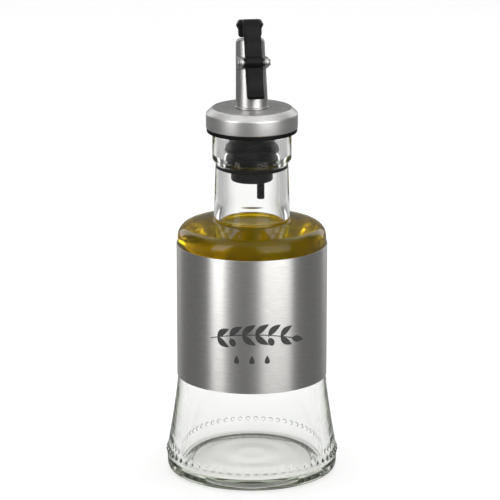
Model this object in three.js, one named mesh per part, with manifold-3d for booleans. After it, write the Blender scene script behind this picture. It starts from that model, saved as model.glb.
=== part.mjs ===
// A clear glass oil bottle with a brushed steel sleeve and a pourer whose lever flap shuts the spout.
// Millimetres, +Z up. The origin is the centre of the base, and the flap's lever faces -Y.
import * as THREE from 'three';
import { mergeVertices } from 'three/addons/utils/BufferGeometryUtils.js';
import Module from 'manifold-3d';

const wasm = await Module();
wasm.setup();

const degrees = Math.PI / 180;

// Bottle, outside
const heelRadius = 36.0;
const heelHeight = 8.4;
const bearingRadius = 32.2;
const bearingWidth = 3.0;
const heelRounding = 3.2;
const heelTaper = 0.3;
const puntRise = 2.0;
const puntEdge = [4.0, 1.7];
const bodyRadius = 31.15;
const flareTop = 42.5;
const flarePower = 1.28;
const shoulderTop = 106.0;
const shoulderRounding = 5.2;
const neckFootRadius = 16.0;
const neckFoot = 108.7;
const neckFootRounding = 1.4;
const neckTopRadius = 15.15;
const neckTop = 133.2;
const neckTopRounding = 0.6;
const lipRadius = 16.5;
const lipFoot = 135.0;
const lipRounding = 0.9;
const mouthHeight = 146.2;
const mouthRounding = 0.6;
const beadCount = 60;
const beadRadius = 1.2;
const beadSink = 0.75;
const beadLift = 0.35;

// Bottle, inside
const wall = 3.3;
const heelWall = 5.2;
const floorHeight = 4.2;
const floorCrown = 1.0;
const floorRounding = 2.4;
const boreRadius = 12.0;
const boreFoot = 116.2;
const boreFootRounding = 6.0;
const innerShoulder = 103.2;
const innerShoulderRounding = 3.4;
const innerNeckFoot = 107.2;
const innerNeckRadius = 13.3;
const innerNeckRounding = 3.0;

// Oil, and the clear disc behind the sleeve that carries it
const oilLevel = 108.8;
const oilNeckTaper = 0.25;
const oilNeckRounding = 0.6;
const discBottom = 45.0;
const discThickness = 3.0;
const fillGap = 0.15;

// Sleeve
const sleeveBottom = 41.7;
const sleeveTop = 98.8;
const sleeveRadius = 31.6;
const sleeveSheet = 0.3;

// Stopper
const flangeRadius = 18.9;
const flangeBottom = 146.4;
const flangeTop = 148.0;
const flangeRounding = 0.4;
const flangeCone = [2.1, 3.6];
const plugBottom = 125.8;
const plugRadius = 8.8;
const plugBore = 5.3;
const plugRounding = 0.7;
const finThickness = 0.9;
const finEdge = 0.54;
const fins = [
  { radius: 11.8, height: 130.8 },
  { radius: 10.9, height: 134.6 },
  { radius: 11.5, height: 138.6 },
];
const ventRadius = 1.5;
const ventBore = 0.8;
const ventPlace = [3.5, -6.0];
const ventEnd = 119.2;
const headGap = 0.2;

// Cap
const capRadius = 19.15;
const capBottom = 148.15;
const capRimTop = 154.3;
const capTop = 156.7;
const capTopRadius = 16.5;
const capSheet = 0.8;
const capHole = 5.3;
const capEdgeRounding = 0.3;
const capRimRounding = 0.9;
const capTopRounding = 1.1;

// Spout, measured along its own leaning axis from the top of the cap
const yaw = 7.5 * degrees;
const lean = 12 * degrees;
const spoutLength = 28.7;
const spoutFootRadius = 6.8;
const spoutTipRadius = 5.95;
const spoutBoreFoot = 4.7;
const mouthRadius = 3.9;
const tubeRoot = 4.0;
const boreRoot = 0.6;
const noseRounding = 1.9;
const collarRadius = 7.25;
const collarHeight = 0.9;
const collarCrown = 0.4;
const collarRounding = 0.5;
const spigotRadius = 5.0;
const spigotBore = 4.1;
const spigotDepth = 20;
const seatGap = 0.1;

// Hinge, in front of the spout
const pivotForward = 10.4;
const pivotUp = 18.3;
const pinRadius = 0.95;
const pinHole = 1.1;
const pinHeadRadius = 1.4;
const pinHeadThickness = 0.55;
const pinHeadRounding = 0.35;
const pinHeadGap = 0.1;
const earInner = 4.2;
const earOuter = 6.2;
const earRadius = 2.1;
const earRoot = 1.5;
const earSpread = 0.8;
const earBevel = 0.3;
const barrelRadius = 2.3;
const barrelHalfWidth = 3.95;

// Flap
const leverWidth = 7.2;
const leverBevel = 0.5;
const lidGap = 0.25;
const lidHeight = 7.4;
const lidSkirtRadius = 4.9;
const lidRimRadius = 5.8;
const lidTopRadius = 4.6;
const lidSkirtHeight = 3.4;
const lidRimHeight = 5.2;
const lidRoundings = { skirt: 1.3, rim: 0.5, top: 0.9 };

// The lever's side view, as [forward, up] from the foot of the spout's leaning axis
const leverRoot = 1.5;
const leverBrow = 4.4;
const leverFront = [[6.9, 34.95], [8.5, 30.6], [8.9, 25.5], [10.6, 20.6]];
const leverTailRoot = [11.5, 16.1];
const leverTailFront = [[11.6, 11.0], [12.9, 6.9], [14.6, 4.4]];
const leverTailEnd = [[13.9, 3.1], [12.6, 3.4]];
const leverBack = [[10.7, 8.0], [9.4, 12.6], [8.7, 18.0], [7.5, 24.0], [6.7, 29.2]];
const leverArmpit = [4.6, 31.4];

const roundSegments = 60;
const pourerSegments = 24;
const pinSegments = 12;
const arcStep = 30 * degrees;
const overrun = 1;

const glass = new THREE.MeshStandardMaterial({
  color: 0xeef2f0, roughness: 0.03, metalness: 0, transparent: true, opacity: 0.35,
});
const oilGold = new THREE.MeshStandardMaterial({
  color: 0xa07c08, roughness: 0.05, metalness: 0, transparent: true, opacity: 0.8,
});
const brushedSteel = new THREE.MeshStandardMaterial({ color: 0xb4b2ad, roughness: 0.35, metalness: 1 });
const polishedSteel = new THREE.MeshStandardMaterial({ color: 0xc9c7c2, roughness: 0.15, metalness: 1 });
const blackRubber = new THREE.MeshStandardMaterial({ color: 0x161616, roughness: 0.6, metalness: 0 });
const blackPlastic = new THREE.MeshStandardMaterial({ color: 0x1c1c1b, roughness: 0.45, metalness: 0 });

// An outline's corners are [radius, height, rounding]; a rounded corner becomes an arc of short steps.
function roundedOutline(corners, closed) {
  const points = [];
  corners.forEach(([x, y, rounding], i) => {
    const corner = new THREE.Vector2(x, y);
    const isEnd = !closed && (i === 0 || i === corners.length - 1);
    if (!rounding || isEnd) {
      points.push(corner);
      return;
    }
    const before = new THREE.Vector2(...corners.at(i - 1)).sub(corner).normalize();
    const after = new THREE.Vector2(...corners[(i + 1) % corners.length]).sub(corner).normalize();
    const half = Math.acos(before.dot(after)) / 2;
    const middle = before.clone().add(after).normalize();
    const centre = corner.clone().addScaledVector(middle, rounding / Math.sin(half));
    const tangent = rounding / Math.tan(half);
    const start = corner.clone().addScaledVector(before, tangent).sub(centre);
    const sweep = Math.PI - 2 * half;
    const steps = Math.max(1, Math.round(sweep / arcStep));
    const turn = before.cross(after) > 0 ? -1 : 1;
    for (let k = 0; k <= steps; k += 1) {
      const arm = start.clone().rotateAround(new THREE.Vector2(), turn * sweep * (k / steps));
      points.push(centre.clone().add(arm));
    }
  });
  return points;
}

// Turns an outline about Z: from axis to axis with the solid on its left, or closed into a ring.
function turned(outline, segments, closed = false) {
  const profile = closed ? [...outline, outline[0].clone()] : outline;
  return new THREE.LatheGeometry(profile, segments).rotateX(Math.PI / 2);
}

function turnedRing(corners, segments) {
  return turned(roundedOutline(corners, true), segments, true);
}

function turnedSolid(corners, segments) {
  return turned(roundedOutline(corners, false), segments);
}

function toSolid(geometry) {
  const bare = geometry.clone();
  bare.deleteAttribute('normal');
  bare.deleteAttribute('uv');
  const merged = mergeVertices(bare, 1e-4);
  return new wasm.Manifold(new wasm.Mesh({
    numProp: 3,
    vertProperties: Float32Array.from(merged.attributes.position.array),
    triVerts: Uint32Array.from(merged.index.array),
  }));
}

function toGeometry(solid) {
  const mesh = solid.getMesh();
  const geometry = new THREE.BufferGeometry();
  geometry.setAttribute('position', new THREE.BufferAttribute(Float32Array.from(mesh.vertProperties), 3));
  geometry.setIndex(new THREE.BufferAttribute(Uint32Array.from(mesh.triVerts), 1));
  geometry.computeVertexNormals();
  return geometry;
}

function joined(geometries) {
  return geometries.map(toSolid).reduce((whole, piece) => whole.add(piece));
}

function part(name, geometry, material) {
  const mesh = new THREE.Mesh(geometry, material);
  mesh.name = name;
  return mesh;
}

// The foot's wall leans out from the body to the heel along a power curve.
function flareOutline(radius, reach, steps = 5) {
  const points = [];
  for (let k = 0; k <= steps; k += 1) {
    const share = k / steps;
    const height = flareTop + (heelHeight - flareTop) * share;
    points.push([radius + reach * share ** flarePower, height]);
  }
  return points;
}

function innerBodyRadius(gap = 0) {
  return bodyRadius - wall - gap;
}

// The inside of the shoulder, from the neck's foot out to the body wall.
function innerShoulderCorners(gap = 0) {
  return [
    [innerNeckRadius - gap, innerNeckFoot, innerNeckRounding],
    [innerBodyRadius(gap), innerShoulder - gap, innerShoulderRounding],
  ];
}

function bottleGeometry() {
  const outerFlare = flareOutline(bodyRadius, heelRadius - bodyRadius);
  const innerHeel = heelRadius - heelWall;
  const innerFlare = flareOutline(innerBodyRadius(), innerHeel - innerBodyRadius());
  const bearingInner = bearingRadius - bearingWidth;
  const corners = [
    [0, puntRise],
    [bearingInner - puntEdge[0], puntEdge[1]],
    [bearingInner, 0],
    [bearingRadius, 0],
    [heelRadius - heelTaper, 0, heelRounding],
    ...outerFlare.reverse(),
    [bodyRadius, shoulderTop, shoulderRounding],
    [neckFootRadius, neckFoot, neckFootRounding],
    [neckTopRadius, neckTop, neckTopRounding],
    [lipRadius, lipFoot, lipRounding],
    [lipRadius, mouthHeight, lipRounding],
    [boreRadius, mouthHeight, mouthRounding],
    [boreRadius, boreFoot, boreFootRounding],
    ...innerShoulderCorners(),
    ...innerFlare,
    [innerHeel - heelTaper, floorHeight, floorRounding],
    [0, floorHeight + floorCrown],
  ];
  const shell = toSolid(turnedSolid(corners, roundSegments));
  return toGeometry(heelBeads().reduce((whole, bead) => whole.add(toSolid(bead)), shell));
}

// Small beads moulded round the widest line of the heel.
function heelBeads() {
  return Array.from({ length: beadCount }, (_, k) => {
    const bead = new THREE.OctahedronGeometry(beadRadius);
    bead.translate(heelRadius - beadSink, 0, heelHeight + beadLift);
    return bead.rotateZ((k + 0.5) * (2 * Math.PI / beadCount));
  });
}

function discGeometry() {
  return postSolid(innerBodyRadius(fillGap), discBottom, discBottom + discThickness, roundSegments);
}

function oilGeometry() {
  const bottom = discBottom + discThickness + fillGap;
  const [neckCorner, bodyCorner] = innerShoulderCorners(fillGap);
  return turnedSolid([
    [0, bottom],
    [innerBodyRadius(fillGap), bottom],
    bodyCorner,
    [neckCorner[0], neckCorner[1] - fillGap, oilNeckRounding],
    [neckCorner[0] - oilNeckTaper, oilLevel],
    [0, oilLevel],
  ], roundSegments);
}

function sleeveGeometry() {
  const inner = sleeveRadius - sleeveSheet;
  return turnedRing([
    [inner, sleeveBottom],
    [sleeveRadius, sleeveBottom],
    [sleeveRadius, sleeveTop],
    [inner, sleeveTop],
  ], roundSegments);
}

function finCorners({ radius, height }) {
  return [
    [plugRadius, height - finThickness / 2],
    [radius, height - finEdge / 2],
    [radius, height + finEdge / 2],
    [plugRadius, height + finThickness / 2],
  ];
}

function postSolid(radius, bottom, top, segments) {
  return turnedSolid([[0, bottom], [radius, bottom], [radius, top], [0, top]], segments);
}

function stopperGeometry() {
  const headRadius = capRadius - capSheet - headGap;
  const headTop = capTop - capSheet - headGap;
  const headTopRadius = capTopRadius - capSheet * 0.5;
  const body = turnedRing([
    [plugBore, plugBottom],
    [plugRadius, plugBottom, plugRounding],
    ...fins.flatMap(finCorners),
    [plugRadius, flangeBottom - flangeCone[1]],
    [plugRadius + flangeCone[0], flangeBottom],
    [flangeRadius, flangeBottom, flangeRounding],
    [flangeRadius, flangeTop, flangeRounding],
    [headRadius, flangeTop],
    [headRadius, capRimTop - capSheet],
    [headTopRadius, headTop],
    [plugBore, headTop],
  ], pourerSegments);
  const tubeTop = plugBottom + overrun;
  const tube = postSolid(ventRadius, ventEnd, tubeTop, pinSegments);
  const hole = postSolid(ventBore, ventEnd - overrun, tubeTop, pinSegments);
  [tube, hole].forEach((piece) => piece.translate(...ventPlace, 0));
  return toGeometry(joined([body, tube]).subtract(toSolid(hole)));
}

function capGeometry() {
  const insideRadius = capRadius - capSheet;
  const insideTop = capTop - capSheet;
  return turnedRing([
    [capHole, insideTop],
    [capTopRadius - capSheet * 0.4, insideTop],
    [insideRadius, capRimTop - capSheet * 0.5],
    [insideRadius, capBottom],
    [capRadius, capBottom, capEdgeRounding],
    [capRadius, capRimTop, capRimRounding],
    [capTopRadius, capTop, capTopRounding],
    [capHole, capTop],
  ], pourerSegments);
}

// Shapes drawn in the plane of the lever, as (forward, up), and thickened along the hinge.
function acrossHinge(shape, width, bevel, curveSegments) {
  const geometry = new THREE.ExtrudeGeometry(shape, {
    depth: width - 2 * bevel,
    bevelEnabled: bevel > 0,
    bevelThickness: bevel,
    bevelSize: bevel,
    bevelOffset: -bevel,
    bevelSegments: 1,
    curveSegments,
    steps: 1,
  });
  geometry.translate(0, 0, bevel - width / 2);
  const forward = new THREE.Vector3(0, -1, 0);
  const up = new THREE.Vector3(0, 0, 1);
  return geometry.applyMatrix4(new THREE.Matrix4().makeBasis(forward, up, forward.clone().cross(up)));
}

function hingeCylinder(radius, halfWidth, segments) {
  const geometry = new THREE.CylinderGeometry(radius, radius, 2 * halfWidth, segments);
  return geometry.rotateZ(Math.PI / 2).translate(0, -pivotForward, pivotUp);
}

function leaned(geometry) {
  return geometry.rotateX(-lean);
}

function earGeometry(side) {
  const shape = new THREE.Shape();
  shape.moveTo(earRoot, pivotUp - earRadius - earSpread);
  shape.lineTo(pivotForward, pivotUp - earRadius);
  shape.absarc(pivotForward, pivotUp, earRadius, -Math.PI / 2, Math.PI / 2, false);
  shape.lineTo(earRoot, pivotUp + earRadius + earSpread);
  shape.closePath();
  const ear = acrossHinge(shape, earOuter - earInner, earBevel, 5);
  return ear.translate(side * (earInner + earOuter) / 2, 0, 0);
}

function spoutGeometry() {
  const tube = turnedSolid([
    [0, -tubeRoot],
    [spoutFootRadius, -tubeRoot],
    [spoutTipRadius, spoutLength, noseRounding],
    [0, spoutLength],
  ], pourerSegments);
  const bore = turnedSolid([
    [0, -boreRoot],
    [spoutBoreFoot, -boreRoot],
    [mouthRadius, spoutLength + overrun],
    [0, spoutLength + overrun],
  ], pourerSegments);
  const belowSeat = toSolid(postSolid(capRadius, -2 * tubeRoot, seatGap, pourerSegments));
  const leaningTube = joined([tube, earGeometry(-1), earGeometry(1)].map(leaned)).subtract(belowSeat);
  const collar = turnedSolid([
    [0, seatGap],
    [collarRadius, seatGap],
    [collarRadius, collarHeight, collarRounding],
    [0, collarHeight + collarCrown],
  ], pourerSegments);
  const spigot = postSolid(spigotRadius, -spigotDepth, collarHeight, pourerSegments);
  const spigotHole = postSolid(spigotBore, -spigotDepth - overrun, collarCrown, pourerSegments);
  const pinThrough = hingeCylinder(pinHole, earOuter + overrun, pinSegments);
  const holes = joined([leaned(bore), spigotHole]).add(toSolid(leaned(pinThrough)));
  return toGeometry(leaningTube.add(joined([collar, spigot])).subtract(holes));
}

function pinGeometry() {
  const headInner = earOuter + pinHeadGap;
  const end = headInner + pinHeadThickness;
  const pin = turnedSolid([
    [0, -end],
    [pinHeadRadius, -end, pinHeadRounding],
    [pinHeadRadius, -headInner],
    [pinRadius, -headInner],
    [pinRadius, headInner],
    [pinHeadRadius, headInner],
    [pinHeadRadius, end, pinHeadRounding],
    [0, end],
  ], pinSegments);
  return leaned(pin.rotateY(Math.PI / 2).translate(0, -pivotForward, pivotUp));
}

// The lever's side view: an arm down from the lid, past the hinge, to a tail that stands off the spout.
function leverShape(lidTop) {
  const places = (list) => list.map((place) => new THREE.Vector2(...place));
  const shape = new THREE.Shape();
  shape.moveTo(leverRoot, lidTop);
  shape.lineTo(leverBrow, lidTop);
  shape.splineThru(places(leverFront));
  shape.lineTo(...leverTailRoot);
  shape.splineThru(places(leverTailFront));
  leverTailEnd.forEach((place) => shape.lineTo(...place));
  shape.splineThru(places(leverBack));
  shape.lineTo(...leverArmpit);
  shape.lineTo(leverRoot, leverArmpit[1]);
  shape.closePath();
  return shape;
}

function flapGeometry() {
  const lidFoot = spoutLength + lidGap;
  const lidTop = lidFoot + lidHeight;
  const lid = turnedSolid([
    [0, lidFoot],
    [lidSkirtRadius, lidFoot, lidRoundings.skirt],
    [lidSkirtRadius, lidFoot + lidSkirtHeight],
    [lidRimRadius, lidFoot + lidRimHeight, lidRoundings.rim],
    [lidTopRadius, lidTop, lidRoundings.top],
    [0, lidTop],
  ], pourerSegments);
  const lever = acrossHinge(leverShape(lidTop), leverWidth, leverBevel, 3);
  const barrel = hingeCylinder(barrelRadius, barrelHalfWidth, 2 * pinSegments);
  const hole = hingeCylinder(pinHole, barrelHalfWidth + overrun, pinSegments);
  return toGeometry(joined([lid, lever, barrel].map(leaned)).subtract(toSolid(leaned(hole))));
}

const bottle = new THREE.Group();
bottle.add(
  part('bottle', bottleGeometry(), glass),
  part('inner_disc', discGeometry(), glass),
  part('oil', oilGeometry(), oilGold),
  part('sleeve', sleeveGeometry(), brushedSteel),
  part('stopper', stopperGeometry(), blackRubber),
  part('cap', capGeometry(), brushedSteel),
);

const pourer = new THREE.Group();
pourer.position.z = capTop;
pourer.rotation.z = yaw;
pourer.add(
  part('spout', spoutGeometry(), polishedSteel),
  part('hinge_pin', pinGeometry(), polishedSteel),
  part('flap', flapGeometry(), blackPlastic),
);
bottle.add(pourer);

export default bottle;
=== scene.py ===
import math
import bmesh
import bpy
from mathutils import Matrix, Vector


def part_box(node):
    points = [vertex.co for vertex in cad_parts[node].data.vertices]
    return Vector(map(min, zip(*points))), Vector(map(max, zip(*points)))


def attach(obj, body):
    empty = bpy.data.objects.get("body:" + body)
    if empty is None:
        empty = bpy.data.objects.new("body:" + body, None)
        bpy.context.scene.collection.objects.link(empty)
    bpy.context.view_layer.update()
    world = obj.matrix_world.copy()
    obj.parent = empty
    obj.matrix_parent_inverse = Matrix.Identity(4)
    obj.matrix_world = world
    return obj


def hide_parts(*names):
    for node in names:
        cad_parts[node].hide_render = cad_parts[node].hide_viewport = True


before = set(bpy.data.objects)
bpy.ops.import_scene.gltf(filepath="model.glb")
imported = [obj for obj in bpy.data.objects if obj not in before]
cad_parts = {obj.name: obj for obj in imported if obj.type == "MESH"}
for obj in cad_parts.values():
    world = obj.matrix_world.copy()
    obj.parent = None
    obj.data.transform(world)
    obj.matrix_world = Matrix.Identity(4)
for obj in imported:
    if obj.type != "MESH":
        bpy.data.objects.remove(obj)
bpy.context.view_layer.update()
mm = 0.001
mergeGap = 1e-7  # points nearer than this, in metres, are one
sharpAngle = math.radians(40)  # edges that turn more than this stay crisp
print("frame loaded:", sorted(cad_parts))


def millimetres(node):  # a node's box corners in mm
    low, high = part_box(node)
    return [v / mm for v in low], [v / mm for v in high]


# Outlines and turned shapes

def roundedOutline(corners, closed=False, steps=6):  # corners are (radius, height, rounding)
    points = []
    for i, corner in enumerate(corners):
        here = Vector(corner[:2])
        rounding = corner[2] if len(corner) > 2 else 0
        isEnd = not closed and i in (0, len(corners) - 1)
        if not rounding or isEnd:
            points.append(here)
            continue
        before = (Vector(corners[i - 1][:2]) - here).normalized()
        after = (Vector(corners[(i + 1) % len(corners)][:2]) - here).normalized()
        half = before.angle(after) / 2
        centre = here + (before + after).normalized() * (rounding / math.sin(half))
        start = here + before * (rounding / math.tan(half)) - centre
        turn = -1 if before.cross(after) > 0 else 1
        sweep = turn * (math.pi - 2 * half)
        for k in range(steps + 1):
            points.append(centre + Matrix.Rotation(sweep * k / steps, 2) @ start)
    return points


def splitLong(outline, low, high, minRadius, step):  # adds points on an outer stretch between two heights
    points = [outline[0]]
    for a, b in zip(outline, outline[1:]):
        isNear = min(a[0], b[0]) > minRadius and min(a[1], b[1]) < high and max(a[1], b[1]) > low
        count = max(1, math.ceil((b - a).length / step)) if isNear else 1
        points += [a.lerp(b, k / count) for k in range(1, count + 1)]
    return points


def turnOutline(outline, segments, closed=False):
    bm = bmesh.new()
    verts = [bm.verts.new((p[0] * mm, 0, p[1] * mm)) for p in outline]
    edges = [bm.edges.new(pair) for pair in zip(verts, verts[1:])]
    if closed:
        edges.append(bm.edges.new((verts[-1], verts[0])))
    bmesh.ops.spin(bm, geom=verts + edges, cent=(0, 0, 0), axis=(0, 0, 1),
                   angle=2 * math.pi, steps=segments, use_merge=True)
    bmesh.ops.remove_doubles(bm, verts=bm.verts, dist=mergeGap)
    bmesh.ops.recalc_face_normals(bm, faces=bm.faces)
    return bm


def smoothLine(points, steps=6):  # a curve through the points, as a list of places
    ends = [points[0] * 2 - points[1]] + points + [points[-1] * 2 - points[-2]]
    line = []
    for a, b, c, d in zip(ends, ends[1:], ends[2:], ends[3:]):
        for k in range(steps):
            t = k / steps
            line.append(0.5 * (2 * b + (c - a) * t + (2 * a - 5 * b + 4 * c - d) * t * t
                               + (3 * b - a - 3 * c + d) * t ** 3))
    return line + [points[-1]]


def mergeShapes(shapes):  # several closed shells as one bmesh
    whole = bmesh.new()
    for shape in shapes:
        mesh = bpy.data.meshes.new("shell")
        shape.to_mesh(mesh)
        shape.free()
        whole.from_mesh(mesh)
        bpy.data.meshes.remove(mesh)
    return whole


def placeOn(bm, matrix):
    bmesh.ops.transform(bm, matrix=matrix, verts=bm.verts)
    return bm


def addPiece(name, bm, finish, body, node=None):
    for face in bm.faces:
        face.smooth = True
    for edge in bm.edges:
        edge.smooth = edge.calc_face_angle(0) < sharpAngle
    mesh = bpy.data.meshes.new(name)
    bm.to_mesh(mesh)
    bm.free()
    piece = bpy.data.objects.new(name, mesh)
    bpy.context.collection.objects.link(piece)
    mesh.materials.append(finish)
    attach(piece, body)
    if node:
        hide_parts(node)
    return piece


# Finishes

patternStops = (0.3, 0.7)  # a pattern is all dark below the first and all light above the second


def newFinish(name):
    finish = bpy.data.materials.new(name)
    finish.use_nodes = True
    nodes = finish.node_tree.nodes
    return finish, nodes, finish.node_tree.links, nodes["Principled BSDF"]


def setSockets(shader, values):
    for socket, value in values.items():
        shader.inputs[socket].default_value = value


def patternAt(nodes, links, scale, detail=3.0, stretch=(1, 1, 1)):  # noise on the piece's own place
    place = nodes.new("ShaderNodeTexCoord")
    mapping = nodes.new("ShaderNodeMapping")
    mapping.inputs["Scale"].default_value = stretch
    noise = nodes.new("ShaderNodeTexNoise")
    noise.inputs["Scale"].default_value = scale
    noise.inputs["Detail"].default_value = detail
    links.new(place.outputs["Object"], mapping.inputs["Vector"])
    links.new(mapping.outputs["Vector"], noise.inputs["Vector"])
    return noise.outputs["Fac"]


def spread(nodes, links, source, low, high, ends=(0, 1)):  # low at the first end, high at the second
    span = nodes.new("ShaderNodeMapRange")
    setSockets(span, {"From Min": ends[0], "From Max": ends[1], "To Min": low, "To Max": high})
    links.new(source, span.inputs["Value"])
    return span.outputs["Result"]


def addMath(nodes, links, operation, first, second):  # the second is a socket or a number
    step = nodes.new("ShaderNodeMath")
    step.operation = operation
    links.new(first, step.inputs[0])
    if isinstance(second, bpy.types.NodeSocket):
        links.new(second, step.inputs[1])
    else:
        step.inputs[1].default_value = second
    return step.outputs["Value"]


def addColours(nodes, links, shader, pattern, look):
    ramp = nodes.new("ShaderNodeValToRGB")
    stops = ramp.color_ramp.elements
    for stop, position, colour in zip((stops[0], stops[1]), patternStops, (look["dark"], look["light"])):
        stop.position = position
        stop.color = (*colour, 1)
    links.new(pattern, ramp.inputs["Fac"])
    links.new(ramp.outputs["Color"], shader.inputs["Base Color"])


def addRoughness(nodes, links, shader, pattern, look):
    links.new(spread(nodes, links, pattern, *look["rough"]), shader.inputs["Roughness"])


def addBump(nodes, links, shader, pattern, look):
    bump = nodes.new("ShaderNodeBump")
    setSockets(bump, {"Strength": look["bump"], "Distance": look["depth"]})
    links.new(pattern, bump.inputs["Height"])
    links.new(bump.outputs["Normal"], shader.inputs["Normal"])


def clearFinish(name, look):  # its colour deepens with the way through it
    finish, nodes, links, shader = newFinish(name)
    setSockets(shader, {"Base Color": look["tint"], "Transmission Weight": look["clear"], "IOR": look["ior"],
                        "Roughness": 0, "Specular Tint": look["gloss"]})
    inside = nodes.new("ShaderNodeVolumeAbsorption")
    setSockets(inside, {"Color": look["absorb"], "Density": look["density"]})
    links.new(inside.outputs["Volume"], nodes["Material Output"].inputs["Volume"])
    return finish, nodes, links, shader


glassLook = {
    "tint": (1, 1, 1, 1), "gloss": (0.3, 0.3, 0.3, 1), "ior": 1.5, "clear": 1,
    "absorb": (0.76, 0.78, 0.74, 1), "density": 50.0,
    "wave": 45, "detail": 1.0, "bump": 0.25, "depth": 0.00002,
}


def clearGlass():
    finish, nodes, links, shader = clearFinish("clearGlass", glassLook)
    wave = patternAt(nodes, links, glassLook["wave"], glassLook["detail"])
    addBump(nodes, links, shader, wave, glassLook)
    return finish


oilLook = {
    "tint": (0.96, 0.72, 0.005, 1), "gloss": (0.1, 0.1, 0.1, 1), "ior": 1.47, "clear": 0.95,
    "absorb": (0.87, 0.77, 0.01, 1), "density": 9.5,
}


def goldenOil():
    return clearFinish("goldenOil", oilLook)[0]


brushing = {"lines": 260, "detail": 4.0, "stretch": (1, 1, 34), "turn": 0.25, "bump": 0.12, "depth": 0.00002}
sleeveLook = {"dark": (0.54, 0.535, 0.52), "light": (0.72, 0.71, 0.69),
              "rough": (0.40, 0.46), "streak": 0.93}
capLook = {"dark": (0.55, 0.545, 0.535), "light": (0.69, 0.685, 0.675),
           "rough": (0.38, 0.46), "streak": 0.3}


def brushedSteel(name, look):  # fine lines run round the axis
    finish, nodes, links, shader = newFinish(name)
    setSockets(shader, {"Metallic": 1, "Anisotropic": look["streak"],
                        "Anisotropic Rotation": brushing["turn"]})
    lines = patternAt(nodes, links, brushing["lines"], brushing["detail"], brushing["stretch"])
    addColours(nodes, links, shader, lines, look)
    addRoughness(nodes, links, shader, lines, look)
    addBump(nodes, links, shader, lines, brushing)
    tangent = nodes.new("ShaderNodeTangent")
    tangent.direction_type = "RADIAL"
    tangent.axis = "Z"
    links.new(tangent.outputs["Tangent"], shader.inputs["Tangent"])
    return finish


polishLook = {"dark": (0.37, 0.365, 0.355), "light": (0.46, 0.455, 0.445),
              "rough": (0.33, 0.43), "smear": 120}


def polishedSteel():
    finish, nodes, links, shader = newFinish("polishedSteel")
    setSockets(shader, {"Metallic": 1})
    smear = patternAt(nodes, links, polishLook["smear"])
    addColours(nodes, links, shader, smear, polishLook)
    addRoughness(nodes, links, shader, smear, polishLook)
    return finish


rubberLook = {"dark": (0.004, 0.004, 0.004), "light": (0.007, 0.007, 0.007), "rough": (0.42, 0.55),
              "gloss": 0.12, "grain": 700, "bump": 0.2, "depth": 0.00002}
plasticLook = {"dark": (0.004, 0.004, 0.0039), "light": (0.007, 0.007, 0.0067), "rough": (0.36, 0.46),
               "gloss": 0.13, "grain": 1100, "bump": 0.2, "depth": 0.00001}


def blackMoulded(name, look):
    finish, nodes, links, shader = newFinish(name)
    setSockets(shader, {"Specular IOR Level": look["gloss"]})
    grain = patternAt(nodes, links, look["grain"])
    addColours(nodes, links, shader, grain, look)
    addRoughness(nodes, links, shader, grain, look)
    addBump(nodes, links, shader, grain, look)
    return finish


inkLook = {"dark": (0.035, 0.034, 0.033), "light": (0.06, 0.059, 0.057), "rough": 0.55,
           "speckle": 900, "detail": 2.0}


def printInk():
    finish, nodes, links, shader = newFinish("printInk")
    speckle = patternAt(nodes, links, inkLook["speckle"], inkLook["detail"])
    addColours(nodes, links, shader, speckle, inkLook)
    setSockets(shader, {"Roughness": inkLook["rough"]})
    return finish


glass = clearGlass()
oil = goldenOil()
sleeveSteel = brushedSteel("sleeveSteel", sleeveLook)
capSteel = brushedSteel("capSteel", capLook)
spoutSteel = polishedSteel()
rubber = blackMoulded("blackRubber", rubberLook)
plastic = blackMoulded("blackPlastic", plasticLook)
ink = printInk()
print("finishes ready")


# Glass bottle, with a row of beads on the widest line of its heel

bottleSizes = {
    "heelHeight": 8.4, "heelRadius": 36.0, "heelInset": 0.3, "heelRounding": 3.2,
    "bearing": 32.2, "bearingWidth": 3.0, "bearingRounding": 0.6,
    "punt": 2.0, "puntSlope": 4, "puntShare": 0.85, "puntRounding": 3,
    "body": 31.15, "flareTop": 42.5, "flarePower": 1.28, "shoulderTop": 106.0, "shoulderRounding": 5.2,
    "neckFootRadius": 16.0, "neckFoot": 108.7, "neckFootRounding": 1.4,
    "neckTopRadius": 15.15, "neckTop": 133.2, "neckTopRounding": 0.6,
    "lip": 16.5, "lipFoot": 135.0, "lipRounding": 0.9, "mouthRounding": 0.8,
    "bore": 12.0, "boreRounding": 0.6, "boreFoot": 116.2, "boreFootRounding": 6,
    "innerNeckFoot": 107.2, "innerNeckRadius": 13.3, "innerNeckRounding": 3,
    "innerShoulder": 103.2, "innerShoulderRounding": 3.4,
    "wall": 3.3, "heelWall": 5.2, "floor": 4.2, "floorShare": 0.5, "floorRounding": 1.2,
    "ripples": ((23.5, 0.12), (18.5, -0.14), (12.5, 0.2), (6.5, -0.1)), "rippleRounding": 30,
    "segments": 400,
}
beadSizes = {"count": 60, "radius": 1.1, "height": 0.47, "lift": 0.35, "band": 1.5, "step": 0.16, "cuts": 2}
beadLine = bottleSizes["heelHeight"] + beadSizes["lift"]
beadInside = bottleSizes["heelRadius"] - beadSizes["band"]


def flareOutline(radius, reach, steps=22):  # the foot's wall, from the body down to the heel
    b = bottleSizes
    drop = b["heelHeight"] - b["flareTop"]
    shares = [k / steps for k in range(steps + 1)]
    return [(radius + reach * s ** b["flarePower"], b["flareTop"] + drop * s) for s in shares]


def ringRadius(vert):
    return math.hypot(vert.co.x, vert.co.y) / mm


def isByBeads(vert):
    return ringRadius(vert) > beadInside and abs(vert.co.z / mm - beadLine) <= beadSizes["radius"]


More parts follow.
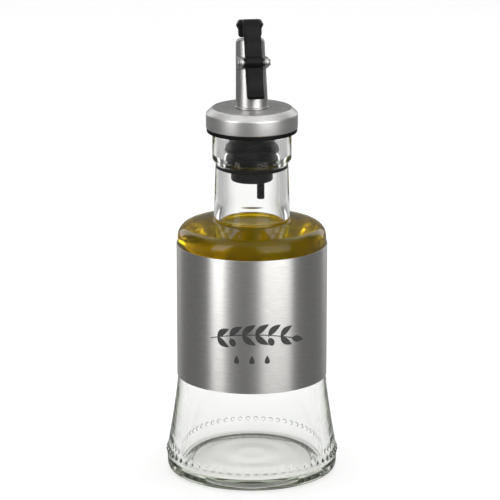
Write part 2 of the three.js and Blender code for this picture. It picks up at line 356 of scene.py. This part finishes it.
def raiseBeads(bm):
    pitch = 2 * math.pi / beadSizes["count"]
    level = [e for e in bm.edges if abs(e.verts[0].co.z - e.verts[1].co.z) < mergeGap]
    around = [e for e in level if isByBeads(e.verts[0])]
    bmesh.ops.subdivide_edges(bm, edges=around, cuts=beadSizes["cuts"])
    for vert in filter(isByBeads, bm.verts):
        radius = ringRadius(vert)
        angle = math.atan2(vert.co.y, vert.co.x)
        nearest = (math.floor(angle / pitch) + 0.5) * pitch
        away = math.hypot((angle - nearest) * radius, vert.co.z / mm - beadLine) / beadSizes["radius"]
        lift = beadSizes["height"] * math.sqrt(max(0, 1 - away * away))
        vert.co.x *= 1 + lift / radius
        vert.co.y *= 1 + lift / radius


def innerFloor(innerHeel):  # slightly domed, with soft ripples
    b = bottleSizes
    dome = b["punt"] * b["floorShare"]
    ripples = [(r, b["floor"] + dome * (1 - r / innerHeel) + rise, b["rippleRounding"])
               for r, rise in b["ripples"]]
    return [*ripples, (0, b["floor"] + dome)]


def makeBottle():
    b = bottleSizes
    mouth = millimetres("bottle")[1][2]
    inside = b["body"] - b["wall"]
    innerHeel = b["heelRadius"] - b["heelWall"]
    puntEdge = b["bearing"] - b["bearingWidth"]
    corners = [
        (0, b["punt"]), (puntEdge - b["puntSlope"], b["punt"] * b["puntShare"], b["puntRounding"]),
        (puntEdge, 0, b["bearingRounding"]), (b["bearing"], 0),
        (b["heelRadius"] - b["heelInset"], 0, b["heelRounding"]),
        *reversed(flareOutline(b["body"], b["heelRadius"] - b["body"])),
        (b["body"], b["shoulderTop"], b["shoulderRounding"]),
        (b["neckFootRadius"], b["neckFoot"], b["neckFootRounding"]),
        (b["neckTopRadius"], b["neckTop"], b["neckTopRounding"]),
        (b["lip"], b["lipFoot"], b["lipRounding"]), (b["lip"], mouth, b["mouthRounding"]),
        (b["bore"], mouth, b["boreRounding"]), (b["bore"], b["boreFoot"], b["boreFootRounding"]),
        (b["innerNeckRadius"], b["innerNeckFoot"], b["innerNeckRounding"]),
        (inside, b["innerShoulder"], b["innerShoulderRounding"]),
        *flareOutline(inside, innerHeel - inside),
        (innerHeel - b["heelInset"], b["floor"], b["floorRounding"]), *innerFloor(innerHeel),
    ]
    outline = splitLong(roundedOutline(corners), beadLine - beadSizes["radius"],
                        beadLine + beadSizes["radius"], beadInside, beadSizes["step"])
    bm = turnOutline(outline, b["segments"])
    raiseBeads(bm)
    piece = addPiece("glassBottle", bm, glass, "bottle", "bottle")
    piece.visible_shadow = False  # clear glass lets the light through to what is inside it


makeBottle()
print("glass bottle made")


# Oil and the clear disc under it, both reaching just into the wall

fillSizes = {
    "intoWall": 0.12, "rise": 0.7, "riseWidth": 1.5, "riseSteps": 5, "belowEdge": 2.0, "slopeShare": 0.8,
    "shoulderRounding": 3.4, "neckRounding": 2.6, "segments": 256,
}


def oilOutline(inside, low, level):
    b, f = bottleSizes, fillSizes
    neck = b["innerNeckRadius"] + f["intoWall"]
    shares = [k / f["riseSteps"] for k in range(f["riseSteps"] + 1)]
    meniscus = [(neck - f["riseWidth"] * s, level - f["rise"] * (1 - (1 - s) ** 2)) for s in shares]
    hidden = millimetres("oil")[1][0]  # behind the sleeve the oil keeps the solid's own width
    sleeveTop = millimetres("sleeve")[1][2]
    return roundedOutline([
        (0, low), (hidden, low), (hidden, sleeveTop - f["belowEdge"]),
        (inside, sleeveTop - f["belowEdge"] * f["slopeShare"]),
        (inside, b["innerShoulder"] + f["intoWall"], f["shoulderRounding"]),
        (neck, b["innerNeckFoot"] + f["intoWall"], f["neckRounding"]), *meniscus, (0, level - f["rise"]),
    ])


def makeFilling():
    inside = bottleSizes["body"] - bottleSizes["wall"] + fillSizes["intoWall"]
    discLow, discHigh = (corner[2] for corner in millimetres("inner_disc"))
    oilLow, oilLevel = (corner[2] for corner in millimetres("oil"))
    disc = roundedOutline([(0, discLow), (inside, discLow), (inside, discHigh), (0, discHigh)])
    discShape = turnOutline(disc, fillSizes["segments"])
    addPiece("innerDisc", discShape, glass, "bottle", "inner_disc")
    oilShape = turnOutline(oilOutline(inside, oilLow, oilLevel), fillSizes["segments"])
    addPiece("oilFill", oilShape, oil, "bottle", "oil")


makeFilling()
print("oil made")


# Steel sleeve

sleeveSizes = {"sheet": 0.3, "edge": 0.12, "edgeSteps": 3, "segments": 256}


def makeSleeve():
    s = sleeveSizes
    low, high = millimetres("sleeve")
    radius = high[0]
    inner = radius - s["sheet"]
    corners = [(inner, low[2], s["edge"]), (radius, low[2], s["edge"]),
               (radius, high[2], s["edge"]), (inner, high[2], s["edge"])]
    bm = turnOutline(roundedOutline(corners, True, s["edgeSteps"]), s["segments"], True)
    addPiece("steelSleeve", bm, sleeveSteel, "bottle", "sleeve")
    return radius


sleeveRadius = makeSleeve()
print("sleeve made")


# A plain sprig printed on the sleeve, with a row of drops under it

sprigSizes = {
    "height": 66.0, "span": 36.0, "sag": 2.6, "stemWidth": 0.42, "stemParts": 24, "stemOverlap": 1.15,
    "leafPairs": 6, "leafLength": 7.2, "leafWidth": 1.35, "leafTurn": 38, "leafBend": 0.5, "leafStart": 0.6,
    "leafReach": 0.9, "leafShrink": 0.25, "tipShare": 0.85, "tipTurn": -14, "tipOverlap": 0.6,
    "fruitLength": 3.6, "fruitWidth": 1.35, "fruitTurn": -66, "fruitHang": (0.5, -1.2),
    "stalkLength": 1.6, "stalkHalf": 0.13, "stalkTurn": -72,
    "dropHeight": 56.5, "dropGap": 6.4, "dropLength": 3.6, "dropWidth": 1.25,
    "film": 0.04, "lift": 0.02, "weld": 0.01,
}


def inkShape(length, halfWidth, origin, turn, bend=0.0, steps=14):  # a flat tapered shape along a line
    bm = bmesh.new()
    bmesh.ops.create_grid(bm, x_segments=steps, y_segments=2, size=1)
    for vert in bm.verts:
        along = (vert.co.x + 1) / 2
        side = vert.co.y * halfWidth(along)
        vert.co = Vector((along * length, side + bend * math.sin(math.pi * along), 0))
    bmesh.ops.rotate(bm, verts=bm.verts, cent=(0, 0, 0), matrix=Matrix.Rotation(turn, 3, "Z"))
    bmesh.ops.translate(bm, verts=bm.verts, vec=(*origin, 0))
    bmesh.ops.remove_doubles(bm, verts=bm.verts, dist=sprigSizes["weld"])
    return bm


def wrapOnSleeve(bm, lift):  # flat (across, up) places onto the sleeve's front
    radius = sleeveRadius + lift
    for vert in bm.verts:
        angle = vert.co.x / sleeveRadius
        vert.co = Vector((radius * math.sin(angle), -radius * math.cos(angle), vert.co.y)) * mm


# half widths of the sprig's shapes, from root (0) to tip (1)

def stemHalf(t):
    return sprigSizes["stemWidth"] / 2


def stalkHalf(t):
    return sprigSizes["stalkHalf"]


def leafHalf(t):
    return sprigSizes["leafWidth"] * math.sin(math.pi * t ** 0.8) ** 0.85


def fruitHalf(t):
    return sprigSizes["fruitWidth"] * math.sqrt(max(0, 1 - (2 * t - 1) ** 2))


def dropHalf(t):
    return sprigSizes["dropWidth"] * math.sqrt(max(0, 1 - (2 * t ** 0.7 - 1) ** 2)) * (1 - t) ** 0.35


def stemAt(t):
    s = sprigSizes
    return Vector((s["span"] * (t - 0.5), s["height"] + s["sag"] * (4 * t * (1 - t) - 0.5)))


def stemShapes():
    s = sprigSizes
    shapes = []
    for k in range(s["stemParts"]):
        a, b = stemAt(k / s["stemParts"]), stemAt((k + 1) / s["stemParts"])
        part = b - a
        turn = math.atan2(part.y, part.x)
        shapes.append(inkShape(part.length * s["stemOverlap"], stemHalf, a, turn, steps=2))
    return shapes


def leafShapes():
    s = sprigSizes
    shapes = []
    for k in range(s["leafPairs"]):
        share = (k + s["leafStart"]) / s["leafPairs"] * s["leafReach"]
        root = stemAt(share)
        for side in (1, -1):
            if side == -1 and k % 3 == 1:  # a fruit hangs where a leaf is left out
                hang = root + Vector(s["fruitHang"])
                stalkTurn, fruitTurn = math.radians(s["stalkTurn"]), math.radians(s["fruitTurn"])
                shapes.append(inkShape(s["stalkLength"], stalkHalf, root, stalkTurn, steps=3))
                shapes.append(inkShape(s["fruitLength"], fruitHalf, hang, fruitTurn))
                continue
            turn = side * math.radians(s["leafTurn"])
            size = s["leafLength"] * (1 - s["leafShrink"] * abs(share - 0.5))
            shapes.append(inkShape(size, leafHalf, root, turn, side * s["leafBend"]))
    tip = stemAt(1) - Vector((s["tipOverlap"], 0))
    shapes.append(inkShape(s["leafLength"] * s["tipShare"], leafHalf, tip, math.radians(s["tipTurn"])))
    return shapes


def dropShapes():
    s = sprigSizes
    feet = [Vector((k * s["dropGap"], s["dropHeight"] - s["dropLength"] / 2)) for k in (-1, 0, 1)]
    return [inkShape(s["dropLength"], dropHalf, foot, math.pi / 2) for foot in feet]


def makeSprig():
    bm = mergeShapes(stemShapes() + leafShapes() + dropShapes())
    wrapOnSleeve(bm, sprigSizes["lift"])
    bmesh.ops.recalc_face_normals(bm, faces=bm.faces)
    bmesh.ops.solidify(bm, geom=bm.faces, thickness=-sprigSizes["film"] * mm)
    addPiece("sleevePrint", bm, ink, "bottle")


makeSprig()
print("sleeve print made")


# Rubber stopper with its lip seals and vent tube

stopperSizes = {
    "plug": 8.8, "plugBottom": 125.8, "plugRounding": 0.8, "bore": 5.3, "boreRounding": 0.3,
    "fins": ((12.06, 131.4, 1.7), (11.0, 135.5, 1.4), (11.5, 139.5, 1.4)),  # the lowest touches the bore
    "finRoot": 0.6, "finRim": 0.45, "rootRounding": 0.25, "rimRounding": 0.3,
    "cone": 2.1, "coneDrop": 3.6, "coneRounding": 1.5, "coneTopRounding": 0.4,
    "flange": 146.4, "flangeHeight": 1.6, "flangeRounding": 0.45,
    "headRadius": 17.9, "headRim": 153.3, "headTop": 155.6, "headTopRadius": 15.9,
    "ventRadius": 1.5, "ventBore": 0.8, "ventPlace": (3.5, -6.0), "ventRoot": 127.0,
    "ventRounding": 0.2, "ventBoreRounding": 0.1, "ventSegments": 32, "cornerSteps": 4, "segments": 128,
}


def finCorners(radius, height, thickness):
    s = stopperSizes
    root, rim = thickness * s["finRoot"], thickness * s["finRim"]
    return [
        (s["plug"], height - root, s["rootRounding"]), (radius, height - rim, s["rimRounding"]),
        (radius, height + rim, s["rimRounding"]), (s["plug"], height + root, s["rootRounding"]),
    ]


def makeStopper():
    s = stopperSizes
    low, high = millimetres("stopper")
    wide = high[0]
    top = s["flange"] + s["flangeHeight"]
    corners = [(s["bore"], s["plugBottom"], s["boreRounding"]),
               (s["plug"], s["plugBottom"], s["plugRounding"])]
    for fin in s["fins"]:
        corners += finCorners(*fin)
    corners += [
        (s["plug"], s["flange"] - s["coneDrop"], s["coneRounding"]),
        (s["plug"] + s["cone"], s["flange"], s["coneTopRounding"]),
        (wide, s["flange"], s["flangeRounding"]), (wide, top, s["flangeRounding"]),
        (s["headRadius"], top), (s["headRadius"], s["headRim"]),
        (s["headTopRadius"], s["headTop"]), (s["bore"], s["headTop"]),
    ]
    body = turnOutline(roundedOutline(corners, True, s["cornerSteps"]), s["segments"], True)
    vent = roundedOutline([
        (s["ventBore"], low[2], s["ventBoreRounding"]), (s["ventRadius"], low[2], s["ventRounding"]),
        (s["ventRadius"], s["ventRoot"]), (s["ventBore"], s["ventRoot"]),
    ], True, s["cornerSteps"])
    tube = turnOutline(vent, s["ventSegments"], True)
    bmesh.ops.translate(tube, verts=tube.verts, vec=Vector((*s["ventPlace"], 0)) * mm)
    addPiece("rubberStopper", mergeShapes([body, tube]), rubber, "bottle", "stopper")


makeStopper()
print("stopper made")


# Steel cap

capSizes = {
    "rimTop": 154.3, "topRadius": 16.5, "sheet": 0.8, "topShare": 0.4, "rimShare": 0.5, "hole": 5.3,
    "footRounding": 0.35, "rimRounding": 0.9, "topRounding": 1.1, "segments": 192,
}


def makeCap():
    c = capSizes
    low, high = millimetres("cap")
    radius = high[0]
    inside = radius - c["sheet"]
    under = high[2] - c["sheet"]
    corners = [
        (c["hole"], under), (c["topRadius"] - c["sheet"] * c["topShare"], under),
        (inside, c["rimTop"] - c["sheet"] * c["rimShare"]), (inside, low[2]),
        (radius, low[2], c["footRounding"]), (radius, c["rimTop"], c["rimRounding"]),
        (c["topRadius"], high[2], c["topRounding"]), (c["hole"], high[2]),
    ]
    bm = turnOutline(roundedOutline(corners, True), c["segments"], True)
    addPiece("steelCap", bm, capSteel, "bottle", "cap")
    return high[2]


capTop = makeCap()
print("cap made")


# Spout, ears and pin, in a frame that leans back from the top of the cap

spoutSizes = {
    "yaw": 7.5, "lean": 12, "length": 28.7, "footRadius": 6.8, "footDepth": 3, "tipRadius": 5.95,
    "boreFoot": 4.7, "boreTop": 4, "boreTaper": 0.1, "mouth": 3.9, "mouthRounding": 0.4,
    "nose": 1.9, "noseSteps": 10, "seatGap": 0.1, "segments": 128,
    "collar": 7.25, "collarHeight": 0.9, "collarFootRounding": 0.15, "collarRounding": 0.4,
}
hingeSizes = {
    "forward": 10.4, "up": 18.3, "earInner": 4.2, "earOuter": 6.2, "earRadius": 2.1, "earRoot": 1.5,
    "earFlare": 0.8, "earEdge": 0.55, "earSteps": 12, "edgeSteps": 4,
    "pin": 0.95, "pinSegments": 48, "headRadius": 1.4, "head": 0.55, "headGap": 0.1,
    "headRounding": 0.45, "headFootRounding": 0.08,
    "barrel": 2.3, "barrelHalf": 3.8, "barrelRounding": 0.3, "barrelSegments": 64,
}
standing = Matrix.Translation((0, 0, capTop * mm)) @ Matrix.Rotation(math.radians(spoutSizes["yaw"]), 4, "Z")
leaning = standing @ Matrix.Rotation(-math.radians(spoutSizes["lean"]), 4, "X")


def sidePlate(outline, low, high, rounding):  # a (forward, up) outline made thick along the hinge
    bm = bmesh.new()
    face = bm.faces.new([bm.verts.new((low * mm, -p[0] * mm, p[1] * mm)) for p in outline])
    pulled = bmesh.ops.extrude_face_region(bm, geom=[face])
    moved = [v for v in pulled["geom"] if isinstance(v, bmesh.types.BMVert)]
    bmesh.ops.translate(bm, verts=moved, vec=((high - low) * mm, 0, 0))
    bmesh.ops.recalc_face_normals(bm, faces=bm.faces)
    rims = [e for e in bm.edges if abs(e.verts[0].co.x - e.verts[1].co.x) < mergeGap]
    bmesh.ops.bevel(bm, geom=rims, offset=rounding * mm, offset_type="OFFSET", affect="EDGES",
                    segments=hingeSizes["edgeSteps"], profile=0.5, material=-1)
    return bm


def acrossHinge(bm):  # turns a shape made about Z so that it lies along the pin
    h = hingeSizes
    turn = Matrix.Translation((0, -h["forward"] * mm, h["up"] * mm)) @ Matrix.Rotation(math.pi / 2, 4, "Y")
    return placeOn(bm, turn)


def makeSpout():
    s = spoutSizes
    outline = roundedOutline([
        (s["boreFoot"], -s["footDepth"]), (s["footRadius"], -s["footDepth"]),
        (s["tipRadius"], s["length"], s["nose"]), (s["mouth"], s["length"], s["mouthRounding"]),
        (s["boreFoot"] - s["boreTaper"], s["boreTop"]),
    ], True, s["noseSteps"])
    tube = placeOn(turnOutline(outline, s["segments"], True), leaning)
    cut = bmesh.ops.bisect_plane(tube, geom=tube.verts[:] + tube.edges[:] + tube.faces[:],
                                 plane_co=(0, 0, (capTop + s["seatGap"]) * mm), plane_no=(0, 0, -1),
                                 clear_outer=True)
    rims = [e for e in cut["geom_cut"] if isinstance(e, bmesh.types.BMEdge)]
    bmesh.ops.bridge_loops(tube, edges=rims)
    bmesh.ops.recalc_face_normals(tube, faces=tube.faces)
    addPiece("steelSpout", tube, spoutSteel, "bottle", "spout")


def makeCollar():
    s = spoutSizes
    outline = roundedOutline([
        (s["boreFoot"], s["seatGap"]), (s["collar"], s["seatGap"], s["collarFootRounding"]),
        (s["collar"], s["collarHeight"], s["collarRounding"]), (s["boreFoot"], s["collarHeight"]),
    ], True)
    ring = placeOn(turnOutline(outline, s["segments"], True), standing)
    addPiece("spoutCollar", ring, spoutSteel, "bottle")


def makeEars():
    h = hingeSizes
    root, radius = h["earRoot"], h["earRadius"]
    turns = [math.radians(-90 + 180 * k / h["earSteps"]) for k in range(h["earSteps"] + 1)]
    front = [(h["forward"] + radius * math.cos(a), h["up"] + radius * math.sin(a)) for a in turns]
    foot, top = h["up"] - radius - h["earFlare"], h["up"] + radius + h["earFlare"]
    outline = [(root, foot), *front, (root, top)]
    for name, side in (("earLeft", -1), ("earRight", 1)):
        low, high = sorted((side * h["earInner"], side * h["earOuter"]))
        ear = placeOn(sidePlate(outline, low, high, h["earEdge"]), leaning)
        addPiece(name, ear, spoutSteel, "bottle")


def makePin():
    h = hingeSizes
    neck = h["earOuter"] + h["headGap"]
    end = neck + h["head"]
    outline = roundedOutline([
        (0, -end), (h["headRadius"], -end, h["headRounding"]),
        (h["headRadius"], -neck, h["headFootRounding"]), (h["pin"], -neck),
        (h["pin"], neck), (h["headRadius"], neck, h["headFootRounding"]),
        (h["headRadius"], end, h["headRounding"]), (0, end),
    ])
    pin = placeOn(acrossHinge(turnOutline(outline, h["pinSegments"])), leaning)
    addPiece("hingePin", pin, spoutSteel, "bottle", "hinge_pin")


makeSpout()
makeCollar()
makeEars()
makePin()
print("spout made")


# Flap: lid, lever and hinge barrel moulded as one

flapSizes = {
    "width": 7.2, "edge": 0.8, "lidGap": 0.25, "lidHeight": 7.4, "skirt": 4.9, "skirtHeight": 3.4,
    "rim": 5.8, "rimHeight": 5.2, "top": 4.6, "footRounding": 1.3, "rimRounding": 0.5, "topRounding": 0.9,
    "lidSegments": 96, "voxel": 0.16, "soften": 10,
}


def places(*pairs):
    return [Vector(p) for p in pairs]


def leverOutline(lidTop):  # (forward, up) places, from the lid down the front and up the back
    h = hingeSizes
    front = smoothLine(places((4.4, lidTop), (6.9, lidTop - 1.4), (8.5, 30.6), (8.9, 25.5), (10.6, 20.6)))
    tailTop = (h["forward"] + 1.1, h["up"] - 2.2)
    tailFront = smoothLine(places(tailTop, (11.6, 11.0), (12.9, 6.9), (14.6, 4.4)))
    tailEnd = places((13.9, 3.1))
    back = smoothLine(places((12.6, 3.4), (10.7, 8.0), (9.4, 12.6), (8.7, 18.0), (7.5, 24.0), (6.7, 29.2)))
    return places((1.5, lidTop)) + front + tailFront + tailEnd + back + places((4.6, 31.4), (1.5, 31.4))


def lidShape(foot, lidTop):
    f = flapSizes
    return turnOutline(roundedOutline([
        (0, foot), (f["skirt"], foot, f["footRounding"]),
        (f["skirt"], foot + f["skirtHeight"], f["rimRounding"]),
        (f["rim"], foot + f["rimHeight"], f["rimRounding"]),
        (f["top"], lidTop, f["topRounding"]), (0, lidTop),
    ]), f["lidSegments"])


def barrelShape():
    h = hingeSizes
    return acrossHinge(turnOutline(roundedOutline([
        (0, -h["barrelHalf"]), (h["barrel"], -h["barrelHalf"], h["barrelRounding"]),
        (h["barrel"], h["barrelHalf"], h["barrelRounding"]), (0, h["barrelHalf"]),
    ]), h["barrelSegments"]))


def makeFlap():
    f = flapSizes
    foot = spoutSizes["length"] + f["lidGap"]
    lidTop = foot + f["lidHeight"]
    lever = sidePlate(leverOutline(lidTop), -f["width"] / 2, f["width"] / 2, f["edge"])
    whole = placeOn(mergeShapes([lidShape(foot, lidTop), lever, barrelShape()]), leaning)
    piece = addPiece("flap", whole, plastic, "flap", "flap")
    melt = piece.modifiers.new("melt", "REMESH")
    melt.mode = "VOXEL"
    melt.voxel_size = f["voxel"] * mm
    melt.use_smooth_shade = True
    soften = piece.modifiers.new("soften", "SMOOTH")
    soften.iterations = f["soften"]


makeFlap()
print("flap made")


# Floor: plain to the camera; for rays that come out of the glass it has painted shade on the diagonals and
# painted light under the base

floorLook = {
    "half": 3.0, "dark": (0.86, 0.86, 0.86), "light": (0.88, 0.88, 0.88), "mottle": 6, "detail": 2.0,
    "rough": 0.9, "glowColour": (1, 1, 1, 1), "emission": 0.2,
    # painted shade: the flag entries set dark floor patches that are seen only through the glass
    "paintedFlagCount": 4, "paintedFlagAngle": (0.08, 0.28), "paintedFlagReach": (0.2, 0.32), "paintedShadeStrength": 0.52,
    # painted light: the base entries set a glow on the floor under the base that is seen only through the
    # glass
    "paintedShadeColour": (0.05, 0.05, 0.05, 1), "paintedBaseReach": (0.028, 0.006), "paintedBaseGlow": 0.42,
}


def addPaintedFlagShade(nodes, links, shader, place, reach, isThrough):  # painted shade: dark patches on the floor's diagonals, farther out, seen only through the glass, standing in for a dark surround that makes the glass edges grey
    angle = nodes.new("ShaderNodeTexGradient")
    angle.gradient_type = "RADIAL"
    links.new(place, angle.inputs["Vector"])
    turns = addMath(nodes, links, "MULTIPLY", angle.outputs["Fac"], floorLook["paintedFlagCount"])
    diagonal = addMath(nodes, links, "PINGPONG", turns, 0.5)
    paintedShade = spread(nodes, links, diagonal, 0, floorLook["paintedShadeStrength"], floorLook["paintedFlagAngle"])
    far = spread(nodes, links, reach, 0, 1, floorLook["paintedFlagReach"])
    farPaintedShade = addMath(nodes, links, "MULTIPLY", paintedShade, far)
    shade = nodes.new("ShaderNodeBsdfDiffuse")
    setSockets(shade, {"Color": floorLook["paintedShadeColour"]})
    mix = nodes.new("ShaderNodeMixShader")
    links.new(addMath(nodes, links, "MULTIPLY", farPaintedShade, isThrough), mix.inputs["Fac"])
    links.new(shader.outputs["BSDF"], mix.inputs[1])
    links.new(shade.outputs["BSDF"], mix.inputs[2])
    links.new(mix.outputs["Shader"], nodes["Material Output"].inputs["Surface"])


def addPaintedBaseGlow(nodes, links, shader, reach, isThrough):  # painted light: extra glow on the floor under the base, seen only through the glass, standing in for the light that the glass gathers under its base
    paintedGlow = spread(nodes, links, reach, 0, floorLook["paintedBaseGlow"], floorLook["paintedBaseReach"])
    through = addMath(nodes, links, "MULTIPLY", paintedGlow, isThrough)
    strength = addMath(nodes, links, "ADD", through, floorLook["emission"])
    links.new(strength, shader.inputs["Emission Strength"])


def paleFloor():
    finish, nodes, links, shader = newFinish("paleFloor")
    mottle = patternAt(nodes, links, floorLook["mottle"], floorLook["detail"])
    addColours(nodes, links, shader, mottle, floorLook)
    setSockets(shader, {"Roughness": floorLook["rough"], "Emission Color": floorLook["glowColour"]})
    place = nodes.new("ShaderNodeTexCoord").outputs["Object"]
    isThrough = nodes.new("ShaderNodeLightPath").outputs["Is Transmission Ray"]
    reach = nodes.new("ShaderNodeVectorMath")
    reach.operation = "LENGTH"
    links.new(place, reach.inputs[0])
    addPaintedFlagShade(nodes, links, shader, place, reach.outputs["Value"], isThrough)
    addPaintedBaseGlow(nodes, links, shader, reach.outputs["Value"], isThrough)
    return finish


def makeFloor():
    bm = bmesh.new()
    bmesh.ops.create_grid(bm, x_segments=1, y_segments=1, size=floorLook["half"])
    mesh = bpy.data.meshes.new("floor")
    bm.to_mesh(mesh)
    bm.free()
    floor = bpy.data.objects.new("floor", mesh)
    bpy.context.collection.objects.link(floor)
    mesh.materials.append(paleFloor())
    floor.visible_glossy = False


# Sky, light and camera

skyGreys = ((0.42, 0.22), (0.50, 0.26), (0.82, 0.13), (0.93, 0.90))  # from straight down (0) to up (1)
rayBounces = 40  # a ray crosses many glass and oil faces on its way out


def makeSky():
    world = bpy.data.worlds.new("studio")
    bpy.context.scene.world = world
    world.use_nodes = True
    nodes, links = world.node_tree.nodes, world.node_tree.links
    place = nodes.new("ShaderNodeTexCoord")
    split = nodes.new("ShaderNodeSeparateXYZ")
    links.new(place.outputs["Generated"], split.inputs["Vector"])
    ramp = nodes.new("ShaderNodeValToRGB")
    links.new(spread(nodes, links, split.outputs["Z"], 0, 1, (-1, 1)), ramp.inputs["Fac"])
    stops = ramp.color_ramp.elements
    for stop, (position, grey) in zip([stops[0], stops[1], stops.new(0.5), stops.new(0.5)], skyGreys):
        stop.position = position
        stop.color = (grey, grey, grey, 1)
    links.new(ramp.outputs["Color"], nodes["Background"].inputs["Color"])


def setRays():
    scene = bpy.context.scene
    scene.view_settings.view_transform = "Standard"
    scene.cycles.max_bounces = rayBounces
    scene.cycles.transmission_bounces = rayBounces
    scene.cycles.glossy_bounces = rayBounces


lampAim = (0, 0, 0.09)
softBoxes = (  # name, place, width, height, power, whether it shows in gloss
    ("leftBox", (-0.80, -0.60, 0.60), 0.45, 1.2, 7.8, True),
    ("rightBox", (0.62, -0.78, 0.60), 1.0, 1.2, 12.3, True),
    ("backLeftBox", (-0.55, 0.82, 0.60), 0.40, 1.2, 2.0, True),
    ("backRightBox", (0.55, 0.82, 0.60), 0.40, 1.2, 2.0, True),
    ("topBox", (0.0, 0.0, 2.2), 3.0, 3.0, 40, False),
)


def addSoftBox(name, place, width, height, power, inGloss):
    lamp = bpy.data.lights.new(name, "AREA")
    lamp.shape = "RECTANGLE"
    lamp.size = width
    lamp.size_y = height
    lamp.energy = power
    box = bpy.data.objects.new(name, lamp)
    box.location = place
    box.visible_camera = False
    box.visible_glossy = inGloss
    box.visible_transmission = inGloss
    box.visible_diffuse = not inGloss
    aim = Vector(lampAim) - Vector(place)
    box.rotation_euler = aim.to_track_quat("-Z", "Y").to_euler()
    bpy.context.collection.objects.link(box)


cameraSizes = {
    "lens": 240, "sensor": 36, "distance": 1.4, "elevation": 14.9, "targetX": -0.0008, "targetZ": 0.09525,
}


def addCamera():
    c = cameraSizes
    lens = bpy.data.cameras.new("camera")
    lens.lens = c["lens"]
    lens.sensor_width = c["sensor"]
    camera = bpy.data.objects.new("camera", lens)
    tilt = math.radians(c["elevation"])
    back, rise = c["distance"] * math.cos(tilt), c["distance"] * math.sin(tilt)
    camera.location = (c["targetX"], -back, c["targetZ"] + rise)
    camera.rotation_euler = (math.pi / 2 - tilt, 0, 0)
    bpy.context.collection.objects.link(camera)
    bpy.context.scene.camera = camera


makeFloor()
makeSky()
setRays()
for softBox in softBoxes:
    addSoftBox(*softBox)
addCamera()
print("stage, light and camera set")
